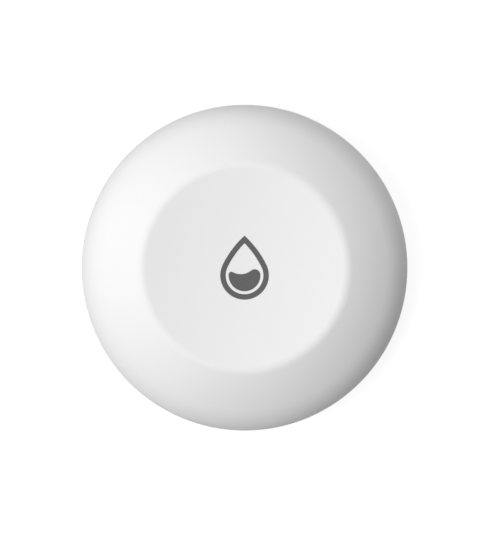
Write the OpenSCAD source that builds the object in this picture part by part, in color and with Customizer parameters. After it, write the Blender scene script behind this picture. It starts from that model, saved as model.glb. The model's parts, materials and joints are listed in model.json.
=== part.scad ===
// Water leak sensor: a round puck that stands on the floor on four soft feet.
// Its dished top shell is the button: it floats on a seal and presses a switch on the board.
// Two screw heads under the base are the water probes, and a coin cell sits behind a twist-off cover.
// Millimetres, +Z up, origin on the floor on the puck's axis.

/* [Body] */
// Diameter at the widest line
body_d = 50; // [45:0.5:58]
// Height from the floor to the crest of the top
body_h = 15; // [14:0.25:18]
// Height of the widest line above the floor
equator_h = 5; // [4.7:0.1:5.6]
// Wall of the top shell
shell_wall = 1.8; // [1.4:0.1:2]
// Radius of the side, above and below the widest line
side_arc = 8; // [7:0.25:9]
// Radius of the flank between the crest and the side
flank_r = 28; // [20:1:40]
// Rounding of the two edges at the parting line
edge_r = 0.25; // [0.15:0.05:0.4]
// Rounding of the edge under the base
heel_r = 0.6; // [0.3:0.05:0.8]

/* [Dish] */
// Diameter of the crest ring round the dish
crest_d = 31; // [28:0.5:33]
// Rounding of the crest
crest_fillet = 2.1; // [2.05:0.05:3]
// Depth of the dish below the crest
dish_depth = 1.35; // [0.8:0.05:1.6]

/* [Drop symbol] */
// Height of the drop
drop_h = 9.75; // [8:0.05:12]
// Diameter of the drop's round bulb
drop_d = 7.4; // [6:0.1:8]
// Radius of the drop's two flanks
drop_flank_r = 15; // [12:1:30]
// Width of the drop's outline
drop_line = 0.8; // [0.5:0.02:1]
// Space between the outline and the water level in it
drop_gap = 0.48; // [0.3:0.02:0.8]
// Depth of the inlay
drop_inlay = 0.4; // [0.2:0.05:0.7]
// Radius of the wave's high crest
wave_high_r = 0.86; // [0.6:0.02:1]
// Radius of the wave's low crest
wave_low_r = 0.4; // [0.3:0.02:0.5]
// Radius of the wave's trough
wave_trough_r = 2.6; // [2.2:0.1:4]
// Angle of the high crest above the middle of the bulb
wave_high_deg = 2; // [0:1:6]
// Angle of the low crest above the middle of the bulb
wave_low_deg = 4; // [0:1:8]

/* [Base] */
// Space between the floor and the underside of the base
floor_gap = 0.8; // [0.6:0.05:1]
// Thickness of the base plate
base_t = 2; // [1.8:0.05:2.3]
// Wall of the ring that carries the shell and its seal
ring_wall = 1; // [0.8:0.05:1.2]
// Height of that ring above the base plate
ring_h = 4.4; // [4:0.1:4.8]
// Height of the seal between ring and shell
press_seal_h = 1.4; // [1.1:0.05:1.6]
// Thickness of the ledge in the shell that rests on the seal
ledge_t = 1; // [0.8:0.05:1.2]
// Diameter of the marks beside the battery cover
mark_d = 1; // [0.8:0.05:1.4]
// Depth of those marks and of the cover's arrow
mark_depth = 0.25; // [0.15:0.05:0.35]

/* [Press] */
// Travel of the top shell when it is pressed
press_travel = 0.35; // [0.2:0.05:0.5]
// Space left under the shell at the end of its travel
press_slack = 0.15; // [0.1:0.05:0.3]
// Diameter of the pusher under the dish
pusher_d = 5; // [4:0.5:8]

/* [Snaps] */
// Number of snaps that hold the shell on the ring
snap_count = 3; // [2:1:6]
// Width of each snap, in degrees
snap_deg = 12; // [8:1:16]
// Height of each snap
snap_h = 1.2; // [0.8:0.1:1.4]
// Height of the snaps above the shell's rim
snap_lift = 0.9; // [0.8:0.05:1.1]
// How far each snap reaches into its window
snap_bite = 0.6; // [0.4:0.05:0.7]

/* [Coin cell] */
// Diameter of the coin cell
cell_d = 20; // [16:0.5:20.5]
// Height of the coin cell
cell_h = 3.2; // [2.5:0.1:3.4]
// Width of the step round the cell's cap
cell_step = 1; // [0.7:0.1:1.5]
// Thickness of the cell's gasket
cell_gasket_t = 0.4; // [0.3:0.05:0.6]
// Height of the cap above the rim of the can
cell_cap_rise = 0.35; // [0.3:0.05:0.5]
// Sheet of the cell's can and cap
cell_sheet = 0.25; // [0.15:0.05:0.3]

/* [Cell holder] */
// Wall of the holder
holder_wall = 0.7; // [0.6:0.05:0.9]
// Space between the cell and the board, for the negative contact
contact_room = 0.6; // [0.5:0.05:0.9]
// Thickness of the spring contacts
contact_t = 0.2; // [0.15:0.05:0.25]
// Width of the spring contacts
contact_w = 3; // [2:0.5:4]
// Length of the negative contact's tongue
tongue_l = 9; // [7:0.5:12]

/* [Battery cover] */
// Thickness of the cover
cover_t = 1.5; // [1.4:0.05:1.7]
// Thickness of the cover's flange
flange_t = 1; // [0.85:0.05:1.1]
// Wall of the cover's spigot
spigot_wall = 1; // [0.9:0.05:1.2]
// Number of bayonet lugs
lug_count = 3; // [2:1:4]
// Width of each lug, in degrees
lug_deg = 20; // [14:1:22]
// Height of each lug
lug_t = 1.15; // [0.8:0.05:1.3]
// Hold of each lug over the base plate
lug_reach = 0.85; // [0.7:0.05:1]
// Turn that frees the cover, in degrees
cover_twist = 30; // [26:1:34]
// Width of the cover's seal
cover_seal_w = 0.55; // [0.45:0.05:0.8]
// Land of the flange outside the seal's groove
flange_land = 0.3; // [0.25:0.05:0.6]
// Depth of the seal's groove in the flange
cover_groove = 0.5; // [0.4:0.05:0.6]
// Length of the coin slot
slot_l = 15; // [12:0.5:18]
// Width of the coin slot
slot_w = 2.2; // [1.8:0.1:2.6]
// Depth of the coin slot
slot_depth = 0.9; // [0.6:0.05:1]
// Diameter of the circle round the cover's arrow
arrow_d = 1.4; // [1:0.1:1.6]

/* [Probes] */
// Diameter of a probe screw
probe_d = 2.5; // [2:0.1:2.8]
// Diameter of a probe's head
probe_head_d = 4; // [3.6:0.1:4.4]
// Height of a probe's head
probe_head_h = 1; // [0.9:0.05:1.2]
// How far a probe stands below the base
probe_drop = 0.5; // [0.3:0.05:0.55]
// Thickness of a probe's seal
probe_seal_t = 0.5; // [0.4:0.05:0.6]
// Diameter of a probe's standoff
standoff_d = 3.8; // [3.4:0.1:4.2]

/* [Feet] */
// Number of feet
foot_count = 4; // [4:4:4]
// Diameter of a foot
foot_d = 4.4; // [3.6:0.1:4.8]
// Depth of a foot's pocket in the base
foot_pocket = 0.6; // [0.4:0.05:0.9]

/* [Board] */
// Thickness of the board
board_t = 1; // [0.8:0.1:1.2]
// Diameter of a board screw
screw_d = 1.7; // [1.4:0.1:2]
// Diameter of a board screw's head
screw_head_d = 3.4; // [3:0.1:3.8]
// Height of a board screw's head
screw_head_h = 1.1; // [0.9:0.1:1.3]
// Diameter of a board boss
boss_d = 3.6; // [3.2:0.1:4]

/* [Switch] */
// Width of the switch
switch_w = 6; // [5.2:0.1:6.5]
// Height of the switch
switch_h = 2.6; // [2.4:0.1:2.8]
// Thickness of the switch's metal frame
switch_frame_t = 0.3; // [0.2:0.05:0.4]
// Diameter of the plunger
plunger_d = 3.4; // [3:0.1:3.8]
// Width of the flange that keeps the plunger in the switch
plunger_flange_w = 0.4; // [0.3:0.05:0.5]
// Height of that flange
plunger_flange_h = 0.6; // [0.5:0.05:0.7]
// Thickness of the switch's floor
switch_floor = 0.5; // [0.4:0.05:0.6]
// Thickness of the switch's snap dome
dome_t = 0.12; // [0.08:0.01:0.15]
// How far the plunger stands out of the switch
plunger_out = 0.7; // [0.6:0.05:1]

/* [Radio] */
// Length of the radio's shield
shield_l = 10; // [9:0.5:11]
// Width of the radio's shield
shield_w = 8; // [7:0.5:8.5]
// Height of the radio's shield
shield_h = 2; // [1.6:0.1:2.4]
// Sheet of the radio's shield
shield_sheet = 0.25; // [0.2:0.05:0.35]
// Width of the radio chip
chip_w = 5; // [4:0.5:5]
// Thickness of the antenna's copper
antenna_t = 0.1; // [0.05:0.05:0.2]
// Number of folds of the antenna
antenna_folds = 5; // [3:1:6]
// Length of the antenna along the edge of the board
antenna_l = 12; // [10:0.5:13]
// Width of the antenna's folds
antenna_w = 3; // [2:0.25:3.5]
// Width of the antenna's copper line
antenna_line = 0.6; // [0.4:0.05:0.7]
// Space from the edge of the board to the antenna, and from there to the shield
antenna_gap = 0.6; // [0.4:0.05:1]

/* [Small parts] */
// Height of the radio chip
chip_h = 0.85; // [0.6:0.05:1.2]
// Length of the radio's crystal
crystal_l = 3.2; // [2.5:0.1:4]
// Width of the radio's crystal
crystal_w = 2.5; // [2:0.1:3]
// Height of the radio's crystal
crystal_h = 0.8; // [0.6:0.05:1.2]
// Length of the memory, between its legs' rows
memory_l = 5; // [4:0.1:6]
// Width of the memory
memory_w = 4; // [3.5:0.1:5]
// Height of the memory
memory_h = 1.5; // [1:0.05:1.8]
// Distance of the memory and the capacitors from the axis
inner_row = 10; // [9:0.25:12]
// Distance of the resistors and the test pads from the axis
outer_row = 13.5; // [13:0.25:14.5]
// Length of a small capacitor or resistor
small_l = 1.6; // [1:0.1:2]
// Width of a small capacitor or resistor
small_w = 0.8; // [0.5:0.05:1.2]
// Height of a small capacitor
small_h = 0.8; // [0.5:0.05:1]
// Height of a resistor
resistor_h = 0.45; // [0.3:0.05:0.6]
// Distance from one small capacitor or resistor to the next
small_pitch = 1.6; // [1.4:0.05:2]
// Length of the storage capacitor
bulk_l = 3.5; // [3:0.1:4.5]
// Width of the storage capacitor
bulk_w = 2.8; // [2.4:0.1:3.5]
// Height of the storage capacitor
bulk_h = 1.9; // [1.5:0.05:2.2]
// Length of the status light
led_l = 2; // [1.6:0.1:2.4]
// Width of the status light
led_w = 1.25; // [0.8:0.05:1.5]
// Height of the status light
led_h = 0.8; // [0.6:0.05:1]
// Diameter of a test pad
pad_d = 1.2; // [0.8:0.1:1.6]
// Thickness of a test pad
pad_t = 0.1; // [0.05:0.05:0.2]
// Distance from one test pad to the next
pad_pitch = 2.5; // [2:0.1:2.8]
// Length of a switch leg's foot
switch_leg_l = 0.8; // [0.6:0.05:1]
// Height of a switch leg
switch_leg_h = 0.9; // [0.7:0.05:1.1]
// Width of a switch leg
switch_leg_w = 0.7; // [0.5:0.05:0.8]
// Sheet of the switch's legs
switch_leg_t = 0.2; // [0.15:0.05:0.25]
// Length of a memory leg
memory_leg_l = 1; // [0.8:0.05:1.2]
// Height of a memory leg
memory_leg_h = 0.7; // [0.5:0.05:0.9]
// Width of a memory leg
memory_leg_w = 0.4; // [0.3:0.05:0.5]
// Sheet of the memory's legs
memory_leg_t = 0.15; // [0.1:0.05:0.2]
// Distance from one memory leg to the next
memory_pitch = 1.27; // [1:0.01:1.4]

/* [Clearances] */
// Gap between faces that touch
touch_gap = 0.02; // [0.01:0.01:0.03]
// Gap round a piece that turns or slides
running_gap = 0.15; // [0.1:0.05:0.2]
// Room round the board and the cell
loose_gap = 0.35; // [0.3:0.05:0.45]

/* [Hidden] */
$fn = 180;

// Heights of the stack, from the floor up
z_under = floor_gap;
z_plate = z_under + base_t;
z_rim = z_plate + press_travel + press_slack;
z_ring = z_plate + ring_h;
z_ledge = z_ring + press_seal_h;
z_cell = z_under + cover_t + loose_gap;
z_board = z_cell + cell_h + contact_room;
z_parts = z_board + board_t;
z_switch = z_parts + switch_h;
z_plunger = z_switch + plunger_out;
z_dish = body_h - dish_depth;

// Centres and directions of the arcs of the half section, each as [radius, height]
function unit(v) = v / norm(v);
// The point rp from p and rq from q, on the left of the way from p to q
function meet(p, rp, q, rq) =
    let (
        d = norm(q - p),
        u = (q - p) / d,
        along = (rp * rp - rq * rq + d * d) / (2 * d),
        aside = sqrt(rp * rp - along * along)
    )
    p + along * u + aside * [-u.y, u.x];
function mirrored(v) = [-v.x, v.y];

crest_c = [crest_d / 2, body_h - crest_fillet];
side_c = [body_d / 2 - side_arc, equator_h];
flank_c = meet(side_c, flank_r - side_arc, crest_c, flank_r - crest_fillet);
dish_r = (pow(crest_d / 2, 2) + pow(dish_depth, 2)) / (2 * dish_depth) - crest_fillet;
dish_c = [0, z_dish + dish_r];
to_dish = unit(dish_c - crest_c);
to_flank = unit(crest_c - flank_c);
to_side = unit(side_c - flank_c);
downward = [0, -1];
// Arcs that are tangent overlap by this much, so that they meet cleanly
weld = 0.0005;

// Radius of the outside, or of a skin that lies inset under it, at a height
function arc_r(centre, r, z) = centre.x + sqrt(r * r - pow(z - centre.y, 2));
function side_r(z, inset) =
    z < equator_h + (side_arc - inset) * to_side.y ? arc_r(side_c, side_arc - inset, z)
    : arc_r(flank_c, flank_r - inset, z);

// Centre of the rounding where the side meets a level face, with the material above (up = 1) or below it
function corner_c(z, r, up) =
    [side_c.x + sqrt(pow(side_arc - r, 2) - pow(z + up * r - equator_h, 2)), z + up * r];

// Ring on the base, inside the shell
ring_out_r = min(side_r(z_rim, shell_wall), side_r(z_ledge, shell_wall)) - 2 * running_gap;
ring_in_r = ring_out_r - ring_wall;
snap_z = z_rim + snap_lift;
// Roots of the shell's ledge and snaps, in the middle of its wall
ledge_root_r = side_r(z_ledge + ledge_t, shell_wall / 2);
snap_root_r = min(side_r(snap_z, shell_wall / 2), side_r(snap_z + snap_h, shell_wall / 2));

// Radii from the coin cell outward
cell_r = cell_d / 2;
holder_in_r = cell_r + loose_gap;
holder_out_r = holder_in_r + holder_wall;
spigot_in_r = holder_in_r;
spigot_out_r = spigot_in_r + spigot_wall;
hole_r = spigot_out_r + running_gap;
lug_r = hole_r + lug_reach;
notch_r = lug_r + running_gap;
groove_in_r = notch_r + running_gap;
groove_out_r = groove_in_r + cover_seal_w;
flange_r = groove_out_r + flange_land;
bore_r = flange_r + running_gap;
z_bore = z_under + flange_t + running_gap;
z_lug = z_plate + touch_gap;
z_lug_top = z_lug + lug_t;
z_spigot = z_lug_top + running_gap;
z_holder = z_spigot + running_gap;

// Ring of bosses, standoffs and feet: the standoffs end flush with the edge of the board
probe_recess_r = probe_head_d / 2 + running_gap;
probe_recess = probe_head_h - probe_drop + probe_seal_t;
rib = 0.6;
board_r = ring_in_r - loose_gap;
carrier_r = board_r - standoff_d / 2;
z_probe_head = z_under - probe_drop + probe_head_h;
probe_angles = [0, 180];
boss_angles = [90, 270];
foot_angles = [for (i = [0:foot_count - 1]) (i + 0.5) * 360 / foot_count];
first_snap_deg = 30;
first_lug_deg = 90;
snap_angles = [for (i = [0:snap_count - 1]) first_snap_deg + i * 360 / snap_count];
lug_angles = [for (i = [0:lug_count - 1]) first_lug_deg + i * 360 / lug_count];

// Drop symbol, in the plane of the top
bulb_c = [0, (drop_d - drop_h) / 2];
bulb_r = drop_d / 2;
tip = [0, drop_h / 2];
drop_flank_c = meet(bulb_c, drop_flank_r - bulb_r, tip, drop_flank_r);
to_bulb = unit(bulb_c - drop_flank_c);
level_r = bulb_r - drop_line - drop_gap;
wave_high_c = bulb_c + (level_r - wave_high_r) * [cos(wave_high_deg), sin(wave_high_deg)];
wave_low_c = bulb_c + (level_r - wave_low_r) * [-cos(wave_low_deg), sin(wave_low_deg)];
wave_trough_c = meet(
    wave_low_c, wave_low_r + wave_trough_r, wave_high_c, wave_high_r + wave_trough_r
);

// Shapes that several pieces share

// Half section of the puck, or of a skin that lies inset under its outside:
// the side and the crest are discs, the flank joins them, and the dish is cut from the top
module puck_area(inset) {
    reach = 2 * flank_r;
    difference() {
        union() {
            polygon([
                [0, 0], [side_c.x, 0], crest_c - (crest_fillet - inset) / 2 * to_dish,
                crest_c + 2 * crest_fillet * to_dish, [0, body_h + crest_fillet]
            ]);
            translate(crest_c) circle(crest_fillet - inset);
            translate(side_c) circle(side_arc - inset);
            intersection() {
                translate(flank_c) circle(flank_r - inset - weld);
                polygon([flank_c, flank_c + reach * to_side, flank_c + reach * to_flank]);
            }
        }
        translate(dish_c) circle(dish_r + inset + weld);
    }
}

// What the rounding of such a corner takes away
module corner_area(z, r, up) {
    c = corner_c(z, r, up);
    reach = 4 * r;
    difference() {
        polygon([c, [c.x, z - up * r], [c.x + reach, z - up * r], c + reach * unit(c - side_c)]);
        translate(c) circle(r + weld);
    }
}

// Everything between two heights, as a half section
module band(z1, z2) {
    translate([0, z1]) square([body_d, z2 - z1]);
}

// Rectangle between two radii and two heights, as a half section
module step_area(r1, r2, z1, z2) {
    translate([r1, z1]) square([r2 - r1, z2 - z1]);
}

// Ring, or sector of one, with a rectangular section, about a given angle
module sector(r1, r2, z1, z2, middle, width) {
    rotate([0, 0, middle - width / 2]) rotate_extrude(angle = width) step_area(r1, r2, z1, z2);
}

module at_polar(r, angle, z) {
    rotate([0, 0, angle]) translate([r, 0, z]) children();
}

module box(l, w, h) {
    translate([-l / 2, -w / 2, 0]) cube([l, w, h]);
}

// Cross recess of a screw, cut upward from z = 0
module cross_recess(span, width, depth) {
    for (turn = [0, 90]) {
        rotate([0, 0, turn]) box(span, width, depth);
    }
}

// Outline of the drop, or of one that lies inset in it: the bulb and two flanks tangent to it
module drop_area(inset) {
    reach = 2 * drop_h;
    translate(bulb_c) circle(bulb_r - inset + weld);
    intersection() {
        translate(drop_flank_c) circle(drop_flank_r - inset);
        translate(mirrored(drop_flank_c)) circle(drop_flank_r - inset);
        polygon([
            bulb_c, bulb_c + reach * to_bulb, [0, reach], bulb_c + reach * mirrored(to_bulb)
        ]);
    }
}

module drop_outline_area(grow) {
    difference() {
        drop_area(-grow);
        drop_area(drop_line + grow);
    }
}

// Water level in the drop: the lower bulb, with two crests and a trough that are tangent to each other
module drop_level_area(grow) {
    reach = 2 * drop_h;
    to_high = unit(wave_high_c - bulb_c);
    to_low = unit(wave_low_c - bulb_c);
    difference() {
        intersection() {
            translate(bulb_c) circle(level_r + grow);
            polygon([
                wave_trough_c, wave_low_c, bulb_c + reach * to_low,
                [-reach, -reach], [reach, -reach], bulb_c + reach * to_high, wave_high_c
            ]);
        }
        translate(wave_trough_c) circle(wave_trough_r - grow);
    }
    translate(wave_high_c) circle(wave_high_r + grow + weld);
    translate(wave_low_c) circle(wave_low_r + grow + weld);
}

// Layer of the dish between two depths under its surface
module dish_layer(from, to) {
    rotate_extrude() intersection() {
        difference() {
            translate(dish_c) circle(dish_r + to);
            translate(dish_c) circle(dish_r + from);
        }
        step_area(0, drop_h, 0, body_h);
    }
}

module inlay(from, to) {
    intersection() {
        dish_layer(from, to);
        linear_extrude(body_h) children();
    }
}

// Outside

module top_shell() {
    color("white") difference() {
        union() {
            rotate_extrude() {
                intersection() {
                    difference() {
                        puck_area(0);
                        puck_area(shell_wall);
                        corner_area(z_rim, edge_r, 1);
                    }
                    band(z_rim, body_h + 1);
                }
                step_area(ring_in_r, ledge_root_r, z_ledge, z_ledge + ledge_t);
            }
            for (angle = snap_angles) {
                sector(ring_out_r - snap_bite, snap_root_r, snap_z, snap_z + snap_h, angle, snap_deg);
            }
            translate([0, 0, z_plunger + touch_gap])
                cylinder(d = pusher_d, h = z_dish - shell_wall / 2 - z_plunger - touch_gap);
        }
        inlay(-dish_depth, drop_inlay + touch_gap) drop_outline_area(touch_gap);
        inlay(-dish_depth, drop_inlay + touch_gap) drop_level_area(touch_gap);
    }
}

module drop_outline() {
    color("dimgray") inlay(0, drop_inlay) drop_outline_area(0);
}

module drop_level() {
    color("dimgray") inlay(0, drop_inlay) drop_level_area(0);
}

// Base with the ring that carries the shell, the cover's bayonet and the seats of probes and feet
module base_shell() {
    // Room beside a snap in its window, a lug in its notch and a lug at its stop, in degrees
    window_slack = 1;
    notch_slack = 1;
    stop_slack = 1.5;
    stop_deg = 3;
    stop_turn = (lug_deg + stop_deg) / 2 + stop_slack;
    stop_r = hole_r + running_gap;
    mark_r = bore_r + rib + mark_d / 2;
    color("whitesmoke") difference() {
        union() {
            rotate_extrude() {
                difference() {
                    intersection() {
                        translate(side_c) circle(side_arc);
                        step_area(side_c.x, body_d, z_under, z_plate);
                    }
                    corner_area(z_plate, edge_r, -1);
                    corner_area(z_under, heel_r, 1);
                }
                step_area(bore_r, side_c.x + rib, z_under, z_plate);
                step_area(hole_r, bore_r + rib, z_bore, z_plate);
                step_area(ring_in_r, ring_out_r, z_under + rib, z_ring);
            }
            for (angle = boss_angles) {
                at_polar(carrier_r, angle, z_under + rib) cylinder(d = boss_d, h = z_board - z_under - rib);
            }
            for (angle = lug_angles, end = [stop_turn, -cover_twist - stop_turn]) {
                sector(stop_r, notch_r + rib, z_bore + rib, z_lug_top, angle + end, stop_deg);
            }
        }
        for (angle = lug_angles) {
            sector(
                hole_r - rib, notch_r, z_bore - rib, z_plate + rib,
                angle - cover_twist, lug_deg + 2 * notch_slack
            );
        }
        for (angle = snap_angles) {
            sector(
                ring_in_r - rib, ring_out_r + rib,
                snap_z - press_travel - press_slack, snap_z + snap_h + touch_gap,
                angle, snap_deg + 2 * window_slack
            );
        }
        for (angle = boss_angles) {
            at_polar(carrier_r, angle, z_plate) cylinder(d = screw_d + 2 * touch_gap, h = body_h);
        }
        for (angle = probe_angles) {
            at_polar(carrier_r, angle, 0) cylinder(d = probe_d + 2 * running_gap, h = body_h);
            at_polar(carrier_r, angle, 0) cylinder(r = probe_recess_r, h = z_under + probe_recess);
        }
        for (angle = foot_angles) {
            at_polar(carrier_r, angle, 0) cylinder(d = foot_d + 2 * touch_gap, h = z_under + foot_pocket);
        }
        // Closed mark beside the cover's arrow, and an open ring where the cover is free
        at_polar(mark_r, lug_angles[0], 0) cylinder(d = mark_d, h = z_under + mark_depth);
        at_polar(mark_r, lug_angles[0] - cover_twist, 0) difference() {
            cylinder(d = mark_d, h = z_under + mark_depth);
            cylinder(d = mark_d / 2, h = body_h);
        }
    }
}

// Soft ring between the carrying ring and the shell, waisted so that it gives
module press_seal() {
    waist = ring_wall / 5;
    color("gainsboro") rotate_extrude() difference() {
        step_area(ring_in_r, ring_out_r, z_ring, z_ledge);
        for (r = [ring_in_r, ring_out_r]) {
            translate([r, (z_ring + z_ledge) / 2]) circle(waist);
        }
    }
}

// Underside

module battery_cover() {
    chamfer = 0.2;
    color("whitesmoke") difference() {
        union() {
            rotate_extrude() difference() {
                union() {
                    step_area(0, spigot_out_r, z_under, z_under + cover_t);
                    polygon([
                        [0, z_under], [flange_r - chamfer, z_under], [flange_r, z_under + chamfer],
                        [flange_r, z_under + flange_t], [0, z_under + flange_t]
                    ]);
                    step_area(spigot_in_r, spigot_out_r, z_under, z_spigot);
                }
                step_area(groove_in_r, groove_out_r, z_under + flange_t - cover_groove, z_spigot);
            }
            for (angle = lug_angles) {
                sector(spigot_out_r - rib, lug_r, z_lug, z_lug_top, angle, lug_deg);
            }
        }
        translate([0, 0, z_under - slot_depth]) {
            box(slot_l - slot_w, slot_w, 2 * slot_depth);
            for (side = [-1, 1]) {
                translate([side * (slot_l - slot_w) / 2, 0, 0]) cylinder(d = slot_w, h = 2 * slot_depth);
            }
        }
        at_polar(lug_r, lug_angles[0], z_under - mark_depth)
            cylinder(d = arrow_d, h = 2 * mark_depth, $fn = 3);
    }
}

module cover_seal() {
    color("gray") rotate_extrude() step_area(
        groove_in_r + touch_gap, groove_out_r - touch_gap,
        z_under + flange_t - cover_groove, z_bore - touch_gap
    );
}

module probe_screws() {
    tip_gap = 0.4;
    recess_span = 0.6 * probe_head_d;
    recess_w = 0.15 * probe_head_d;
    recess_depth = 0.6 * probe_head_h;
    dome_r = 1.1 * probe_head_d;
    color("silver") for (angle = probe_angles) {
        at_polar(carrier_r, angle, z_under - probe_drop) {
            difference() {
                intersection() {
                    cylinder(d = probe_head_d, h = probe_head_h);
                    translate([0, 0, dome_r]) sphere(dome_r);
                }
                cross_recess(recess_span, recess_w, recess_depth);
            }
            translate([0, 0, probe_head_h / 2])
                cylinder(d = probe_d, h = z_board - tip_gap - z_probe_head + probe_head_h / 2);
        }
    }
}

module probe_seals() {
    color("gray") for (angle = probe_angles) {
        at_polar(carrier_r, angle, z_probe_head) difference() {
            cylinder(d = probe_head_d, h = probe_seal_t);
            translate([0, 0, -probe_seal_t]) cylinder(d = probe_d + 2 * touch_gap, h = 3 * probe_seal_t);
        }
    }
}

module probe_standoffs() {
    color("goldenrod") for (angle = probe_angles) {
        at_polar(carrier_r, angle, z_plate) difference() {
            cylinder(d = standoff_d, h = z_board - z_plate);
            translate([0, 0, -1]) cylinder(d = probe_d + 2 * touch_gap, h = body_h);
        }
    }
}

module feet() {
    chamfer = 0.25;
    color("lightgray") for (angle = foot_angles) {
        at_polar(carrier_r, angle, 0) {
            cylinder(d1 = foot_d - 2 * chamfer, d2 = foot_d, h = chamfer);
            translate([0, 0, chamfer]) cylinder(d = foot_d, h = z_under + foot_pocket - chamfer);
        }
    }
}

// Board and what fixes it

module circuit_board() {
    color("darkgreen") difference() {
        translate([0, 0, z_board]) cylinder(r = board_r, h = board_t);
        for (angle = boss_angles) {
            at_polar(carrier_r, angle, 0) cylinder(d = screw_d + 2 * running_gap, h = body_h);
        }
    }
}

module board_screws() {
    shank = board_t + z_board - z_plate - rib;
    recess_span = 0.6 * screw_head_d;
    recess_w = 0.16 * screw_head_d;
    recess_depth = 0.6 * screw_head_h;
    color("silver") for (angle = boss_angles) {
        at_polar(carrier_r, angle, z_parts) {
            difference() {
                cylinder(d = screw_head_d, h = screw_head_h);
                translate([0, 0, screw_head_h - recess_depth])
                    cross_recess(recess_span, recess_w, screw_head_h);
            }
            translate([0, 0, -shank]) cylinder(d = screw_d, h = shank + screw_head_h / 4);
        }
    }
}

// Switch under the pusher

plunger_flange_d = plunger_d + 2 * plunger_flange_w;
switch_bore_d = plunger_flange_d + 2 * running_gap;
z_flange = z_switch - switch_frame_t - touch_gap - plunger_flange_h;

module switch_body() {
    color("black") difference() {
        translate([0, 0, z_parts]) box(switch_w, switch_w, switch_h - switch_frame_t);
        translate([0, 0, z_parts + switch_floor]) cylinder(d = switch_bore_d, h = switch_h);
    }
}

module switch_frame() {
    color("silver") difference() {
        translate([0, 0, z_switch - switch_frame_t]) box(switch_w, switch_w, switch_frame_t);
        cylinder(d = plunger_d + running_gap, h = body_h);
    }
}

// Snap dome that returns the plunger: a thin cap between the switch's floor and the plunger
module switch_dome() {
    rise = z_flange - touch_gap - z_parts - switch_floor;
    half = plunger_flange_d / 2;
    r = (half * half + rise * rise) / (2 * rise);
    color("gold") rotate_extrude() intersection() {
        difference() {
            translate([0, z_flange - touch_gap - r]) circle(r);
            translate([0, z_flange - touch_gap - r]) circle(r - dome_t);
        }
        step_area(0, half, z_parts + switch_floor, z_flange);
    }
}

module switch_plunger() {
    color("dimgray") {
        translate([0, 0, z_flange]) cylinder(d = plunger_flange_d, h = plunger_flange_h);
        translate([0, 0, z_flange]) cylinder(d = plunger_d, h = z_plunger - z_flange);
    }
}

module switch_terminals() {
    leg_pitch = 0.75 * switch_w;
    leg_w = switch_leg_w;
    leg_t = switch_leg_t;
    color("silver") for (side = [-1, 1], row = [-1, 1]) {
        translate([side * switch_w / 2, row * leg_pitch / 2, z_parts]) mirror([side < 0 ? 1 : 0, 0, 0])
            rotate([90, 0, 0]) translate([0, 0, -leg_w / 2]) linear_extrude(leg_w) polygon([
                [0, switch_leg_h], [leg_t, switch_leg_h], [leg_t, leg_t],
                [switch_leg_l, leg_t], [switch_leg_l, 0], [0, 0]
            ]);
    }
}

// Coin cell and its holder

tab_l = 2;

module battery_holder() {
    grip_deg = 60;
    color("black") difference() {
        rotate([0, 0, 90]) rotate_extrude()
            step_area(holder_in_r, holder_out_r, z_holder, z_board);
        sector(holder_in_r - rib, holder_out_r + rib, 0, z_board - (z_board - z_holder) / 4, 180, grip_deg);
        translate([cell_r, -contact_w / 2 - running_gap, z_board - contact_t - running_gap])
            cube([tab_l, contact_w + 2 * running_gap, contact_room]);
    }
}

// Strip along the cell's side, with a tab that is soldered to the board
module positive_contact() {
    strip_deg = contact_w / cell_r * 180 / PI;
    strip_r = cell_r + touch_gap;
    color("silver") {
        sector(strip_r, strip_r + contact_t, z_cell + cell_h / 2, z_board, 0, strip_deg);
        translate([strip_r + contact_t / 2, -contact_w / 2, z_board - contact_t])
            cube([tab_l, contact_w, contact_t]);
    }
}

// Leaf that is soldered to the board and slopes down to the cell's cap
module negative_contact() {
    z_cap = z_cell + cell_h + touch_gap;
    pad_l = tongue_l / 3;
    color("silver") rotate([90, 0, 0]) translate([0, 0, -contact_w / 2]) linear_extrude(contact_w) polygon([
        [-tongue_l / 2, z_board], [-tongue_l / 2, z_board - contact_t],
        [pad_l - tongue_l / 2, z_board - contact_t], [tongue_l / 3, z_cap],
        [tongue_l / 2, z_cap + contact_t], [tongue_l / 2, z_cap + 2 * contact_t],
        [tongue_l / 3, z_cap + contact_t], [pad_l - tongue_l / 2, z_board]
    ]);
}

cell_cap_r = cell_r - cell_step;
cell_lip_r = cell_cap_r + cell_gasket_t;
z_cell_top = z_cell + cell_h;
z_cell_rim = z_cell_top - cell_cap_rise;
z_cell_well = z_cell_rim - cell_h / 3;

// Cup with its rim turned in over the gasket
module cell_can() {
    edge = cell_h / 12;
    color("silver") rotate_extrude() difference() {
        polygon([
            [0, z_cell], [cell_r - edge, z_cell], [cell_r, z_cell + edge],
            [cell_r, z_cell_rim - edge], [cell_r - edge, z_cell_rim], [0, z_cell_rim]
        ]);
        step_area(0, cell_r - cell_sheet, z_cell + cell_sheet, z_cell_rim - cell_sheet);
        step_area(0, cell_lip_r, z_cell_well, body_h);
    }
}

module cell_gasket() {
    color("black") rotate_extrude() difference() {
        step_area(cell_cap_r + touch_gap, cell_r - cell_sheet - touch_gap, z_cell_well, z_cell_rim);
        step_area(cell_lip_r - touch_gap, cell_r, z_cell_rim - cell_sheet - touch_gap, body_h);
    }
}

module cell_cap() {
    edge = cell_cap_rise / 2;
    color("lightgray") rotate_extrude() polygon([
        [0, z_cell_top], [cell_cap_r - edge, z_cell_top], [cell_cap_r, z_cell_top - edge],
        [cell_cap_r, z_cell_well], [cell_cap_r - cell_sheet, z_cell_well],
        [cell_cap_r - cell_sheet, z_cell_top - cell_sheet], [0, z_cell_top - cell_sheet]
    ]);
}

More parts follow.
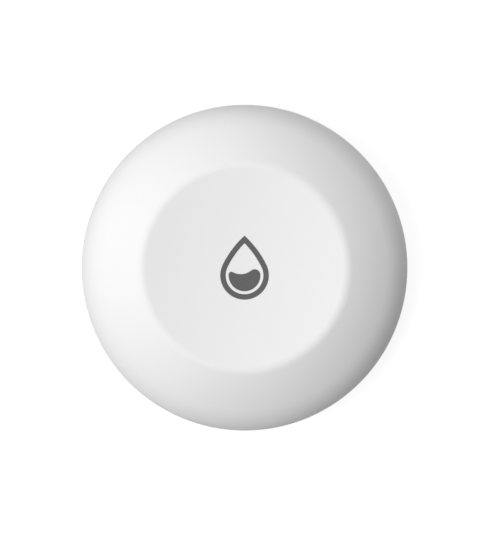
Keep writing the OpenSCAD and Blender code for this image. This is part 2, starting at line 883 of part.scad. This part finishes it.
// Pressed filling of the cell
module cell_core() {
    color("black") rotate_extrude() {
        step_area(0, cell_r - cell_sheet - touch_gap, z_cell + cell_sheet, z_cell_well);
        step_area(0, cell_cap_r - cell_sheet - touch_gap, z_cell + cell_sheet, z_cell_top - cell_sheet);
    }
}

// Parts on the board

// Bearings of the groups of parts: the antenna lies at the edge of the board, the radio stands inside it
radio_deg = 135;
memory_deg = 225;
bulk_deg = 315;
passives_deg = 45;
antenna_r = sqrt(pow(board_r, 2) - pow(antenna_l / 2, 2)) - antenna_gap - antenna_w / 2;
shield_r = antenna_r - antenna_w / 2 - antenna_gap - shield_w / 2;

module radio_shield() {
    color("silver") at_polar(shield_r, radio_deg, z_parts) difference() {
        box(shield_w, shield_l, shield_h);
        translate([0, 0, -shield_sheet])
            box(shield_w - 2 * shield_sheet, shield_l - 2 * shield_sheet, shield_h);
    }
}

module radio_chip() {
    color("black") at_polar(shield_r, radio_deg, z_parts)
        translate([0, (shield_l - chip_w) / 2 - 2 * shield_sheet, 0]) box(chip_w, chip_w, chip_h);
}

module radio_crystal() {
    color("silver") at_polar(shield_r, radio_deg, z_parts)
        translate([0, (crystal_w - shield_l) / 2 + 2 * shield_sheet, 0]) box(crystal_l, crystal_w, crystal_h);
}

// Folded trace at the edge of the board, one run and one turn at a time
module antenna() {
    pitch = (antenna_l - antenna_line) / (2 * antenna_folds);
    color("peru") at_polar(antenna_r, radio_deg, z_parts) linear_extrude(antenna_t) {
        for (i = [0:2 * antenna_folds]) {
            translate([-antenna_w / 2, i * pitch - antenna_l / 2]) square([antenna_w, antenna_line]);
        }
        for (i = [0:2 * antenna_folds - 1]) {
            translate([i % 2 == 0 ? antenna_w / 2 - antenna_line : -antenna_w / 2, i * pitch - antenna_l / 2])
                square([antenna_line, pitch + antenna_line]);
        }
    }
}

module memory_chip() {
    color("black") at_polar(inner_row, memory_deg, z_parts + memory_leg_t) box(memory_l, memory_w, memory_h);
}

module memory_legs() {
    color("silver") at_polar(inner_row, memory_deg, z_parts) for (side = [0, 1], i = [-1.5:1:1.5]) {
        mirror([0, side, 0]) translate([i * memory_pitch - memory_leg_w / 2, memory_w / 2, 0]) {
            cube([memory_leg_w, memory_leg_l, memory_leg_t]);
            cube([memory_leg_w, memory_leg_t, memory_leg_h]);
        }
    }
}

module status_led() {
    led_y = -switch_w / 2 - 2 * led_w;
    color("ivory") translate([0, led_y, z_parts]) box(led_l, led_w, led_h);
}

module capacitors() {
    color("tan") at_polar(inner_row, passives_deg, z_parts) for (i = [-2:2]) {
        translate([0, i * small_pitch, 0]) box(small_l, small_w, small_h);
    }
}

module resistors() {
    color("black") at_polar(outer_row, passives_deg, z_parts) for (i = [-2:2]) {
        translate([0, i * small_pitch, 0]) box(small_l, small_w, resistor_h);
    }
}

module bulk_capacitor() {
    color("orange") at_polar(inner_row, bulk_deg, z_parts) box(bulk_l, bulk_w, bulk_h);
}

module test_pads() {
    color("gold") for (i = [-2:2]) {
        translate([i * pad_pitch, -outer_row, z_parts]) cylinder(d = pad_d, h = pad_t);
    }
}

top_shell();
drop_outline();
drop_level();
base_shell();
press_seal();
battery_cover();
cover_seal();
probe_screws();
probe_seals();
probe_standoffs();
feet();
circuit_board();
board_screws();
switch_body();
switch_frame();
switch_dome();
switch_plunger();
switch_terminals();
battery_holder();
positive_contact();
negative_contact();
cell_can();
cell_gasket();
cell_cap();
cell_core();
radio_shield();
radio_chip();
radio_crystal();
antenna();
memory_chip();
memory_legs();
status_led();
capacitors();
resistors();
bulk_capacitor();
test_pads();
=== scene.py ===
"""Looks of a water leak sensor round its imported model. Metres, in the model's own frame."""

import json
import math
from collections import namedtuple

import bmesh
import bpy
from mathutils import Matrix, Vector

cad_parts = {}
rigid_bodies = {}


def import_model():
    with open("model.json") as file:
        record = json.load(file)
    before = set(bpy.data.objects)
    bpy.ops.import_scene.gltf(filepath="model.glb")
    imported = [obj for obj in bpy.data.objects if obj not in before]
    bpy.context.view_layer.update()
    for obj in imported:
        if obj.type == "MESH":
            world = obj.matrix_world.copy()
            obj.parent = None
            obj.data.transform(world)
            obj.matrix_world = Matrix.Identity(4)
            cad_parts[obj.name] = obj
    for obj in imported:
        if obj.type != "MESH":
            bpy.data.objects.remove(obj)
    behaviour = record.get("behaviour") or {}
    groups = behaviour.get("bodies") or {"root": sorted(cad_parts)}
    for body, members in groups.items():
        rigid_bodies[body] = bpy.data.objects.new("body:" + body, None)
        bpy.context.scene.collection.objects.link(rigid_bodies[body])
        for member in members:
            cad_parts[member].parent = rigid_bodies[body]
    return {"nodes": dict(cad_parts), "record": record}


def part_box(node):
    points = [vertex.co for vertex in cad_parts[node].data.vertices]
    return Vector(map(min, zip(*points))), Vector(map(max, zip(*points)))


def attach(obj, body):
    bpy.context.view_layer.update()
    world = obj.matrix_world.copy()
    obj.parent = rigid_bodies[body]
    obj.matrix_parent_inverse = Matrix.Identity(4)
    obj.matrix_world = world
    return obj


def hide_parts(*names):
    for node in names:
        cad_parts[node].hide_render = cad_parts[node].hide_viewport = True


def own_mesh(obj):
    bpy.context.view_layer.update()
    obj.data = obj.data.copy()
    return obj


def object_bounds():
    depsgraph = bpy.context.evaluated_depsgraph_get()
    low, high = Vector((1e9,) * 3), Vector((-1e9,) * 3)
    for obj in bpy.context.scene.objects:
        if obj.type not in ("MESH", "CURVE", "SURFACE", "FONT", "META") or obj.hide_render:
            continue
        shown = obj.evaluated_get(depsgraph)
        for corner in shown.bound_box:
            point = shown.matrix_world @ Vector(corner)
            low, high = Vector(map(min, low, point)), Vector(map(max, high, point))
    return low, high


MM = 0.001

for leftover in list(bpy.data.objects):
    bpy.data.objects.remove(leftover)
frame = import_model()
cad_low, cad_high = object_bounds()
nodes = frame["nodes"]
# Material slot of each node
slot_of = {row["node"]: row["material_slot"] for row in frame["record"]["subparts"]}


# Sizes read from the model

# Points of a mesh that are nearer to each other than this are one point
WELD = 0.0001 * MM
RoundSolid = namedtuple("RoundSolid", "centre inner outer low high")


def islands(mesh):
    """Points of each separate solid of a mesh, in the order of the mesh."""
    bm = bmesh.new()
    bm.from_mesh(mesh)
    bmesh.ops.remove_doubles(bm, verts=bm.verts, dist=WELD)
    reached = set()
    found = []
    for start in bm.verts:
        if start in reached:
            continue
        reached.add(start)
        front = [start]
        island = []
        while front:
            vert = front.pop()
            island.append(vert.co.copy())
            linked = [edge.other_vert(vert) for edge in vert.link_edges]
            fresh = [other for other in linked if other not in reached]
            reached.update(fresh)
            front.extend(fresh)
        found.append(island)
    bm.free()
    return found


def round_solids(node):
    """Upright axis, radii and heights of each solid of a node."""
    solids = []
    for points in islands(nodes[node].data):
        low = Vector(map(min, zip(*points)))
        high = Vector(map(max, zip(*points)))
        centre = ((low + high) / 2).to_2d()
        reach = [(point.to_2d() - centre).length for point in points]
        solids.append(RoundSolid(centre, min(reach), max(reach), low.z, high.z))
    return solids


# Node helpers


class Shader:
    """A material, its Principled shader and short ways to add nodes to it."""

    def __init__(self, name):
        self.material = bpy.data.materials.new(name)
        self.material.use_nodes = True
        self.tree = self.material.node_tree
        self.bsdf = next(n for n in self.tree.nodes if n.type == "BSDF_PRINCIPLED")
        self.place = self.add("ShaderNodeTexCoord").outputs["Object"]

    def add(self, kind, **settings):
        """A new node with some of its settings changed."""
        node = self.tree.nodes.new(kind)
        for name, value in settings.items():
            setattr(node, name, value)
        return node

    def link(self, source, target):
        """Joins an output to an input."""
        self.tree.links.new(source, target)

    def feed(self, value, socket):
        """Links an output to a socket, or sets a plain value on it."""
        if isinstance(value, bpy.types.NodeSocket):
            self.link(value, socket)
        else:
            socket.default_value = value

    def give(self, **values):
        """Feeds inputs of the Principled shader, named with _ for each space."""
        for name, value in values.items():
            self.feed(value, self.bsdf.inputs[name.replace("_", " ")])

    def math(self, operation, a, b=0.0):
        """Result of an operation on two values, or on the first alone."""
        node = self.add("ShaderNodeMath", operation=operation)
        self.feed(a, node.inputs[0])
        self.feed(b, node.inputs[1])
        return node.outputs[0]

    def above(self, value, level):
        """1 where a value is over a level, and 0 elsewhere."""
        return self.math("GREATER_THAN", value, level)

    def noise(self, size, detail=2.0, stretch=(1, 1, 1), where=None):
        """Noise from 0 to 1 whose blotches are about size metres wide."""
        scaled = self.add("ShaderNodeVectorMath", operation="MULTIPLY")
        self.feed(where or self.place, scaled.inputs[0])
        scaled.inputs[1].default_value = [s / size for s in stretch]
        node = self.add("ShaderNodeTexNoise")
        self.link(scaled.outputs[0], node.inputs["Vector"])
        node.inputs["Scale"].default_value = 1.0
        node.inputs["Detail"].default_value = detail
        return node.outputs["Fac"]

    def ramp(self, fac, low=0.0, high=1.0, start=0.3, end=0.7):
        """Fades from low to high while fac goes from start to end."""
        node = self.add("ShaderNodeMapRange", clamp=True)
        self.feed(fac, node.inputs["Value"])
        node.inputs["From Min"].default_value = start
        node.inputs["From Max"].default_value = end
        node.inputs["To Min"].default_value = low
        node.inputs["To Max"].default_value = high
        return node.outputs["Result"]

    def mix(self, fac, low, high):
        """Colour between low and high."""
        node = self.add("ShaderNodeMix", data_type="RGBA")
        self.feed(fac, node.inputs["Factor"])
        colours = [s for s in node.inputs if s.type == "RGBA"]
        for value, socket in zip((low, high), colours):
            self.feed(value if isinstance(value, bpy.types.NodeSocket) else (*value, 1.0), socket)
        return next(s for s in node.outputs if s.type == "RGBA")

    def bump(self, height, depth, below=None):
        """Relief of depth metres from a height of 0 to 1, over any relief below."""
        node = self.add("ShaderNodeBump")
        self.feed(height, node.inputs["Height"])
        node.inputs["Strength"].default_value = 1.0
        node.inputs["Distance"].default_value = depth
        if below is not None:
            self.link(below, node.inputs["Normal"])
        return node.outputs["Normal"]

    def axes(self):
        """The three coordinates of a place, in metres."""
        node = self.add("ShaderNodeSeparateXYZ")
        self.link(self.place, node.inputs[0])
        return node.outputs

    def radius(self, x, y):
        """Distance of a place from where x and y are both 0."""
        square_sum = self.math("ADD", self.math("MULTIPLY", x, x), self.math("MULTIPLY", y, y))
        return self.math("SQRT", square_sum)

    def waves(self, value, pitch):
        """Ripples from 0 to 1, one for each pitch that value grows."""
        sine = self.math("SINE", self.math("MULTIPLY", value, 2 * math.pi / pitch))
        return self.ramp(sine, start=-1.0, end=1.0)


def shade(colour, share):
    """A colour made lighter or darker by a share."""
    return tuple(min(1.0, max(0.0, c * (1 + share))) for c in colour)


def make_plain(
    name,
    colour,
    rough,
    metal=0.0,
    mottle=0.05,
    mottle_size=0.9 * MM,
    grain=0.08 * MM,
    relief=0.002 * MM,
    stretch=(1, 1, 1),
):
    """A moulded, plated or sheet surface: mottled colour, uneven gloss and a fine grain."""
    s = Shader(name)
    blotch = s.ramp(s.noise(size=mottle_size, detail=3.0))
    fine = s.noise(size=grain, stretch=stretch)
    s.give(
        Base_Color=s.mix(blotch, shade(colour, -mottle), shade(colour, mottle)),
        Roughness=s.ramp(fine, *rough, start=0.25, end=0.75),
        Metallic=metal,
        Normal=s.bump(fine, depth=relief),
    )
    return s


# Materials, one for each slot of the record

TIN = (0.70, 0.70, 0.69)


def make_shell():
    """White moulded plastic: matt, with a spark-eroded grain over a very slight unevenness."""
    s = Shader("shell")
    white = (0.84, 0.84, 0.84)
    mottle = 0.006
    cloud = s.ramp(s.noise(size=9 * MM))
    grain = s.noise(size=0.11 * MM, detail=3.0)
    waviness = s.bump(s.noise(size=2.4 * MM, detail=1.0), depth=0.0012 * MM)
    s.give(
        Base_Color=s.mix(cloud, shade(white, -mottle), shade(white, mottle)),
        Roughness=s.ramp(grain, low=0.56, high=0.68),
        Specular_IOR_Level=0.25,
        Normal=s.bump(grain, depth=0.0016 * MM, below=waviness),
    )
    return s.material


def make_symbol():
    """Dark grey inlay: matt, with a faint speckle of pigment."""
    s = Shader("symbol")
    speckle = s.noise(size=0.16 * MM, detail=3.0)
    s.give(
        Base_Color=s.mix(s.ramp(speckle), low=(0.098, 0.098, 0.099), high=(0.118, 0.118, 0.119)),
        Roughness=s.ramp(speckle, low=0.56, high=0.70),
        Specular_IOR_Level=0.25,
        Normal=s.bump(speckle, depth=0.001 * MM),
    )
    return s.material


def make_silicone():
    """Milky silicone: matt, slightly translucent and a little uneven."""
    s = make_plain(
        "silicone",
        colour=(0.70, 0.70, 0.69),
        rough=(0.52, 0.68),
        mottle=0.04,
        mottle_size=1.5 * MM,
        grain=0.2 * MM,
        relief=0.004 * MM,
    )
    s.give(
        Subsurface_Weight=0.25,
        Subsurface_Radius=(1.0, 0.95, 0.9),
        Subsurface_Scale=0.6 * MM,
        IOR=1.41,
    )
    return s.material


def make_probe_steel():
    """Turned stainless steel: fine rings round the axis of each of the two screws."""
    s = Shader("probe_steel")
    wander = 0.05 * MM
    axis_x = max(solid.centre.x for solid in round_solids("probe_screws"))
    x, y, _ = s.axes()
    wobble = s.math("MULTIPLY", s.noise(size=0.6 * MM), wander)
    from_axis = s.math("SUBTRACT", s.math("ABSOLUTE", x), axis_x)
    rings = s.waves(s.math("ADD", s.radius(from_axis, y), wobble), pitch=0.09 * MM)
    s.give(
        Base_Color=s.mix(rings, low=(0.60, 0.60, 0.60), high=(0.70, 0.70, 0.69)),
        Roughness=s.ramp(s.noise(size=0.05 * MM), low=0.16, high=0.30),
        Metallic=1.0,
        Normal=s.bump(rings, depth=0.0012 * MM),
    )
    return s.material


def make_brass():
    """Turned brass: tool marks across the axis and slightly uneven tarnish."""
    s = Shader("brass")
    _, _, z = s.axes()
    tarnish = s.noise(size=1.2 * MM, detail=3.0)
    s.give(
        Base_Color=s.mix(s.ramp(tarnish), low=(0.70, 0.52, 0.22), high=(0.84, 0.66, 0.31)),
        Roughness=s.ramp(tarnish, low=0.34, high=0.22),
        Metallic=1.0,
        Normal=s.bump(s.waves(z, pitch=0.12 * MM), depth=0.002 * MM),
    )
    return s.material


def make_board():
    """Green solder mask over rows of parallel tracks that change direction from area to area."""
    s = Shader("board")
    x, y, _ = s.axes()
    across = s.above(s.noise(size=7 * MM, detail=0.0), level=0.5)
    along = s.math("SUBTRACT", 1.0, across)
    run = s.math("ADD", s.math("MULTIPLY", x, across), s.math("MULTIPLY", y, along))
    comb = s.ramp(s.waves(run, pitch=0.8 * MM), start=0.62, end=0.72)
    present = s.above(s.noise(size=2.6 * MM, detail=0.0), level=0.47)
    track = s.math("MULTIPLY", comb, present)
    weave = s.noise(size=0.25 * MM)
    bare = s.mix(s.ramp(weave), low=(0.010, 0.105, 0.045), high=(0.014, 0.125, 0.055))
    s.give(
        Base_Color=s.mix(track, low=bare, high=(0.030, 0.235, 0.095)),
        Roughness=s.ramp(weave, low=0.28, high=0.42),
        Normal=s.bump(track, depth=0.02 * MM, below=s.bump(weave, depth=0.002 * MM)),
    )
    return s.material


def make_capped(name, node, colour, rough):
    """Small chips whose length points away from the axis, with tinned ends."""
    s = Shader(name)
    mottle = 0.12
    # The tin sets in between these shares of half the length, and its edge wanders by ragged
    tin_from, tin_to = 0.65, 0.70
    ragged = 0.06 * MM
    low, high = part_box(node)
    outward = (low + high).to_2d().normalized()
    spans = [vert.co.to_2d().dot(outward) for vert in nodes[node].data.vertices]
    middle = (max(spans) + min(spans)) / 2
    half = (max(spans) - min(spans)) / 2
    along = s.add("ShaderNodeVectorMath", operation="DOT_PRODUCT")
    s.link(s.place, along.inputs[0])
    along.inputs[1].default_value = (*outward, 0.0)
    off = s.math("ABSOLUTE", s.math("SUBTRACT", along.outputs["Value"], middle))
    uneven = s.math("MULTIPLY", s.noise(size=0.3 * MM), ragged)
    end = s.ramp(s.math("ADD", off, uneven), start=tin_from * half, end=tin_to * half)
    fired = s.noise(size=0.2 * MM, detail=3.0)
    plain = s.mix(s.ramp(fired), shade(colour, -mottle), shade(colour, mottle))
    s.give(
        Base_Color=s.mix(end, low=plain, high=TIN),
        Roughness=s.ramp(fired, *rough),
        Metallic=end,
        Normal=s.bump(fired, depth=0.004 * MM),
    )
    return s.material


def make_cell_steel():
    """Nickel plate on drawn sheet: circular brushing round the cell's axis."""
    s = Shader("cell_steel")
    x, y, z = s.axes()
    rings = s.add("ShaderNodeCombineXYZ")
    s.link(s.math("ADD", s.radius(x, y), z), rings.inputs[0])
    brushed = s.noise(size=0.07 * MM, detail=3.0, stretch=(1, 0.02, 0.02), where=rings.outputs[0])
    stain = s.ramp(s.noise(size=3 * MM))
    s.give(
        Base_Color=s.mix(stain, low=(0.60, 0.60, 0.59), high=(0.69, 0.69, 0.68)),
        Roughness=s.ramp(brushed, low=0.20, high=0.38),
        Metallic=1.0,
        Normal=s.bump(brushed, depth=0.002 * MM),
    )
    return s.material


# Chips with tinned ends: their node, colour and range of roughness
CAPPED_LOOKS = {
    "chip_ceramic": dict(node="capacitors", colour=(0.52, 0.37, 0.23), rough=(0.35, 0.50)),
    "resistor_black": dict(node="resistors", colour=(0.03, 0.03, 0.03), rough=(0.20, 0.35)),
}
# Surfaces that need no more than a colour, a range of roughness and a few settings
PLAIN_LOOKS = {
    "screw_steel": dict(colour=(0.58, 0.59, 0.60), rough=(0.26, 0.42), metal=1.0, grain=0.06 * MM),
    "tin_plate": dict(colour=TIN, rough=(0.18, 0.36), metal=1.0, grain=0.05 * MM, stretch=(1, 0.08, 1)),
    "gold_plate": dict(colour=(0.86, 0.62, 0.22), rough=(0.14, 0.26), metal=1.0, relief=0.001 * MM),
    "copper": dict(colour=(0.72, 0.38, 0.20), rough=(0.22, 0.38), metal=1.0, mottle=0.08),
    "moulded_black": dict(colour=(0.022, 0.022, 0.023), rough=(0.42, 0.62), mottle=0.15, relief=0.005 * MM),
    "cell_paste": dict(colour=(0.03, 0.03, 0.03), rough=(0.75, 0.95), mottle=0.3, relief=0.02 * MM),
    "capacitor_amber": dict(colour=(0.68, 0.38, 0.05), rough=(0.24, 0.36), relief=0.003 * MM),
    "led_lens": dict(colour=(0.84, 0.83, 0.70), rough=(0.12, 0.22), mottle=0.03, relief=0.001 * MM),
    "plunger_grey": dict(colour=(0.10, 0.10, 0.10), rough=(0.40, 0.55), mottle=0.08, relief=0.003 * MM),
}


def make_materials():
    """The material of each slot."""
    made = {
        "shell": make_shell(),
        "symbol": make_symbol(),
        "silicone": make_silicone(),
        "probe_steel": make_probe_steel(),
        "brass": make_brass(),
        "board": make_board(),
        "cell_steel": make_cell_steel(),
    }
    for slot, look in CAPPED_LOOKS.items():
        made[slot] = make_capped(slot, **look)
    for slot, look in PLAIN_LOOKS.items():
        made[slot] = make_plain(slot, **look).material
    return made


def dress_nodes():
    """Puts the material of its slot on each node."""
    for node, obj in nodes.items():
        for holder in obj.material_slots:
            holder.material = materials[slot_of[node]]


materials = make_materials()
dress_nodes()


# Soft and springy pieces, turned from sections whose points are (radius, height)

# Straight steps along a rounding, a groove and the dome
ROUNDING_STEPS = 8
GROOVE_STEPS = 12
DOME_STEPS = 24
# Straight steps once round a ring and a foot
RING_SEGMENTS = 192
FOOT_SEGMENTS = 96
# Where two faces meet at more than this angle, the edge shows
CREASE_DEG = 32


def arc(centre, radius, start, end, steps=ROUNDING_STEPS):
    """Points along an arc between two angles in degrees."""
    turns = [math.radians(start + (end - start) * k / steps) for k in range(steps + 1)]
    return [(centre[0] + radius * math.cos(a), centre[1] + radius * math.sin(a)) for a in turns]


def rounded_ring(solid, rounding):
    """Lower and upper half of a ring's section with rounded edges, in turning order."""
    left, right = solid.inner + rounding, solid.outer - rounding
    low, high = solid.low + rounding, solid.high - rounding
    lower = arc((left, low), rounding, 180, 270) + arc((right, low), rounding, 270, 360)
    upper = arc((right, high), rounding, 0, 90) + arc((left, high), rounding, 90, 180)
    return lower, upper


def turn_into(bm, section, centre=(0.0, 0.0), segments=RING_SEGMENTS):
    """Adds a closed section, turned about the upright line through centre, to a bmesh."""
    on_axis = 1e-6 * MM
    rings = []
    for r, z in section:
        spots = 1 if r < on_axis else segments
        turns = [2 * math.pi * k / segments for k in range(spots)]
        places = [(centre[0] + r * math.cos(a), centre[1] + r * math.sin(a), z) for a in turns]
        rings.append([bm.verts.new(place) for place in places])
    for ring, other in zip(rings, rings[1:] + rings[:1]):
        if len(ring) == 1 and len(other) == 1:
            continue
        for k in range(segments):
            n = k + 1
            corners = [ring[k % len(ring)], ring[n % len(ring)]]
            corners += [other[n % len(other)], other[k % len(other)]]
            bm.faces.new(list(dict.fromkeys(corners)))


def piece(name, bm, node, body):
    """Makes a bmesh a piece that rides on a body and stands for a node, with the node's finish."""
    bmesh.ops.recalc_face_normals(bm, faces=bm.faces)
    mesh = bpy.data.meshes.new(name)
    bm.to_mesh(mesh)
    bm.free()
    mesh.materials.append(materials[slot_of[node]])
    mesh.shade_smooth()
    mesh.set_sharp_from_angle(angle=math.radians(CREASE_DEG))
    obj = bpy.data.objects.new(name, mesh)
    bpy.context.scene.collection.objects.link(obj)
    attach(obj, body)
    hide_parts(node)
    return obj


def flatten_with(obj):
    """Gives a piece a fresh copy of its own mesh."""
    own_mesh(obj)


def make_press_seal():
    """Ring under the shell, waisted by a groove on each side."""
    rounding = 0.08 * MM
    # The groove's radius goes this many times into the width of the ring
    grooves_in_width = 5
    solid = round_solids("press_seal")[0]
    middle = (solid.low + solid.high) / 2
    groove = (solid.outer - solid.inner) / grooves_in_width
    lower, upper = rounded_ring(solid, rounding)
    outside = arc((solid.outer, middle), groove, 270, 90, GROOVE_STEPS)
    inside = arc((solid.inner, middle), groove, 90, -90, GROOVE_STEPS)
    bm = bmesh.new()
    turn_into(bm, lower + outside + upper + inside)
    seal = piece("press_seal_moulded", bm, "press_seal", "base")
    flatten_with(seal)


def make_flat_seals(node, body):
    """Seals with rounded edges, as in the cover and under the probes."""
    rounding = 0.12 * MM
    bm = bmesh.new()
    for solid in round_solids(node):
        lower, upper = rounded_ring(solid, rounding)
        turn_into(bm, lower + upper, solid.centre)
    piece(node + "_moulded", bm, node, body)


def make_feet():
    """Feet with a rounded tread and a shallow dimple in the middle of it."""
    tread, edge = 0.32 * MM, 0.06 * MM
    dimple_r, dimple = 1.0 * MM, 0.12 * MM
    hollow_r = (dimple_r ** 2 + dimple ** 2) / (2 * dimple)
    hollow_end = math.degrees(math.acos(dimple_r / hollow_r))
    bm = bmesh.new()
    for solid in round_solids("feet"):
        section = arc((0.0, solid.low + dimple - hollow_r), hollow_r, 90, hollow_end)
        section += arc((solid.outer - tread, solid.low + tread), tread, 270, 360)
        section += arc((solid.outer - edge, solid.high - edge), edge, 0, 90)
        section += [(0.0, solid.high)]
        turn_into(bm, section, solid.centre, FOOT_SEGMENTS)
    piece("feet_moulded", bm, "feet", "base")


def make_dome():
    """Snap dome of thin spring sheet."""
    sheet = 0.12 * MM
    solid = round_solids("switch_dome")[0]
    rise = solid.high - solid.low
    outer_r = (solid.outer ** 2 + rise ** 2) / (2 * rise)
    inner_r = outer_r - sheet
    centre = (0.0, solid.high - outer_r)
    outer_end = math.degrees(math.asin((solid.low - centre[1]) / outer_r))
    inner_end = math.degrees(math.asin((solid.low - centre[1]) / inner_r))
    outside = arc(centre, outer_r, 90, outer_end, DOME_STEPS)
    inside = arc(centre, inner_r, inner_end, 90, DOME_STEPS)
    bm = bmesh.new()
    turn_into(bm, outside + inside)
    dome = piece("switch_dome_sprung", bm, "switch_dome", "base")
    flatten_with(dome)


make_press_seal()
make_flat_seals("cover_seal", "battery_cover")
make_flat_seals("probe_seals", "base")
make_feet()
make_dome()


# Floor, world, lamps and camera

FLOOR_ALBEDO = 0.30
FLOOR_REACH = 4.0
FLOOR_Z = -0.01 * MM
# Light that the floor gives to the eye alone, within the first radius and past the second
GLOW_NEAR, GLOW_FAR = 0.84, 1.0
GLOW_NEAR_R, GLOW_FAR_R = 50 * MM, 160 * MM
SKY = 0.285
# Direction and angular radius in degrees, and irradiance at the part
Lamp = namedtuple("Lamp", "elevation azimuth irradiance spread")
LAMPS = {
    "key": Lamp(elevation=57.0, azimuth=197.0, irradiance=2.23, spread=22.0),
    "low_left": Lamp(elevation=6.0, azimuth=168.0, irradiance=0.56, spread=8.0),
    "fill_back": Lamp(elevation=37.0, azimuth=81.0, irradiance=0.93, spread=22.0),
}
LAMP_DISTANCE = 0.7
# Size of the photograph, and the place and width of the part in it, in pixels
PHOTO_PX = (493, 540)
PART_CENTRE_PX = (244.56, 267.68)
PART_WIDTH_PX = 325.8
# A long lens from far off draws the crest and the widest line at nearly the same scale
LENS_MM = 1000.0
SENSOR_MM = 36.0


def eye_rays(tree):
    """1 for rays of the camera, of gloss and of glass, and 0 for the light that falls on things."""
    path = tree.nodes.new("ShaderNodeLightPath")
    total = path.outputs["Is Camera Ray"]
    for name in ("Is Glossy Ray", "Is Transmission Ray"):
        node = tree.nodes.new("ShaderNodeMath")
        node.operation = "MAXIMUM"
        tree.links.new(total, node.inputs[0])
        tree.links.new(path.outputs[name], node.inputs[1])
        total = node.outputs[0]
    return total


def light_and_show(tree, lighting, shown, surface):
    """Links to a surface one shader that lights the part, and another that the eye sees."""
    pick = tree.nodes.new("ShaderNodeMixShader")
    tree.links.new(eye_rays(tree), pick.inputs[0])
    tree.links.new(lighting.outputs[0], pick.inputs[1])
    tree.links.new(shown.outputs[0], pick.inputs[2])
    tree.links.new(pick.outputs[0], surface)


def make_floor():
    """Pale floor that reads as white where it is lit, and keeps the shadow of the part."""
    mesh = bpy.data.meshes.new("floor")
    corners = ((-1, -1), (1, -1), (1, 1), (-1, 1))
    mesh.from_pydata([(x * FLOOR_REACH, y * FLOOR_REACH, FLOOR_Z) for x, y in corners], [], [(0, 1, 2, 3)])
    floor = bpy.data.objects.new("floor", mesh)
    bpy.context.scene.collection.objects.link(floor)
    s = Shader("floor")
    output = next(n for n in s.tree.nodes if n.type == "OUTPUT_MATERIAL")
    s.tree.nodes.remove(s.bsdf)
    diffuse = s.add("ShaderNodeBsdfDiffuse")
    diffuse.inputs["Color"].default_value = (FLOOR_ALBEDO,) * 3 + (1.0,)
    x, y, _ = s.axes()
    strength = s.ramp(s.radius(x, y), GLOW_NEAR, GLOW_FAR, GLOW_NEAR_R, GLOW_FAR_R)
    glow = s.add("ShaderNodeEmission")
    s.link(strength, glow.inputs["Strength"])
    lit = s.add("ShaderNodeAddShader")
    s.link(diffuse.outputs[0], lit.inputs[0])
    s.link(glow.outputs[0], lit.inputs[1])
    light_and_show(s.tree, diffuse, lit, output.inputs["Surface"])
    mesh.materials.append(s.material)


def make_world():
    """Even light from all round, behind a white that is only looked at."""
    world = bpy.data.worlds.new("studio")
    bpy.context.scene.world = world
    world.use_nodes = True
    tree = world.node_tree
    tree.nodes.clear()
    fill = tree.nodes.new("ShaderNodeBackground")
    fill.inputs["Strength"].default_value = SKY
    white = tree.nodes.new("ShaderNodeBackground")
    for node in (fill, white):
        node.inputs["Color"].default_value = (1.0, 1.0, 1.0, 1.0)
    output = tree.nodes.new("ShaderNodeOutputWorld")
    light_and_show(tree, fill, white, output.inputs["Surface"])


def make_lamps():
    """Soft discs round the part, all aimed at its middle."""
    aim = (cad_low + cad_high) / 2
    for name, row in LAMPS.items():
        lamp = bpy.data.lights.new(name, "AREA")
        lamp.shape = "DISK"
        lamp.size = 2 * LAMP_DISTANCE * math.tan(math.radians(row.spread))
        lamp.energy = row.irradiance * math.pi * LAMP_DISTANCE ** 2
        obj = bpy.data.objects.new(name, lamp)
        e, a = math.radians(row.elevation), math.radians(row.azimuth)
        away = Vector((math.cos(e) * math.cos(a), math.cos(e) * math.sin(a), math.sin(e)))
        obj.location = aim + LAMP_DISTANCE * away
        obj.rotation_mode = "QUATERNION"
        obj.rotation_quaternion = away.to_track_quat("Z", "Y")
        obj.visible_camera = False
        bpy.context.scene.collection.objects.link(obj)


def make_camera():
    """Straight down, with the part as large and as far off the middle as in the photograph."""
    camera = bpy.data.cameras.new("camera")
    camera.lens = LENS_MM
    camera.sensor_width = SENSOR_MM
    obj = bpy.data.objects.new("camera", camera)
    outline = [vert.co for vert in nodes["top_shell"].data.vertices]
    widest = max(outline, key=lambda point: point.to_2d().length)
    pixel = (cad_high.x - cad_low.x) / PART_WIDTH_PX
    obj.location = (
        (PHOTO_PX[0] / 2 - PART_CENTRE_PX[0]) * pixel,
        (PART_CENTRE_PX[1] - PHOTO_PX[1] / 2) * pixel,
        widest.z + LENS_MM / SENSOR_MM * max(PHOTO_PX) * pixel,
    )
    bpy.context.scene.collection.objects.link(obj)
    bpy.context.scene.camera = obj


make_floor()
make_world()
make_lamps()
make_camera()
bpy.context.scene.view_settings.view_transform = "Standard"

bpy.context.view_layer.update()
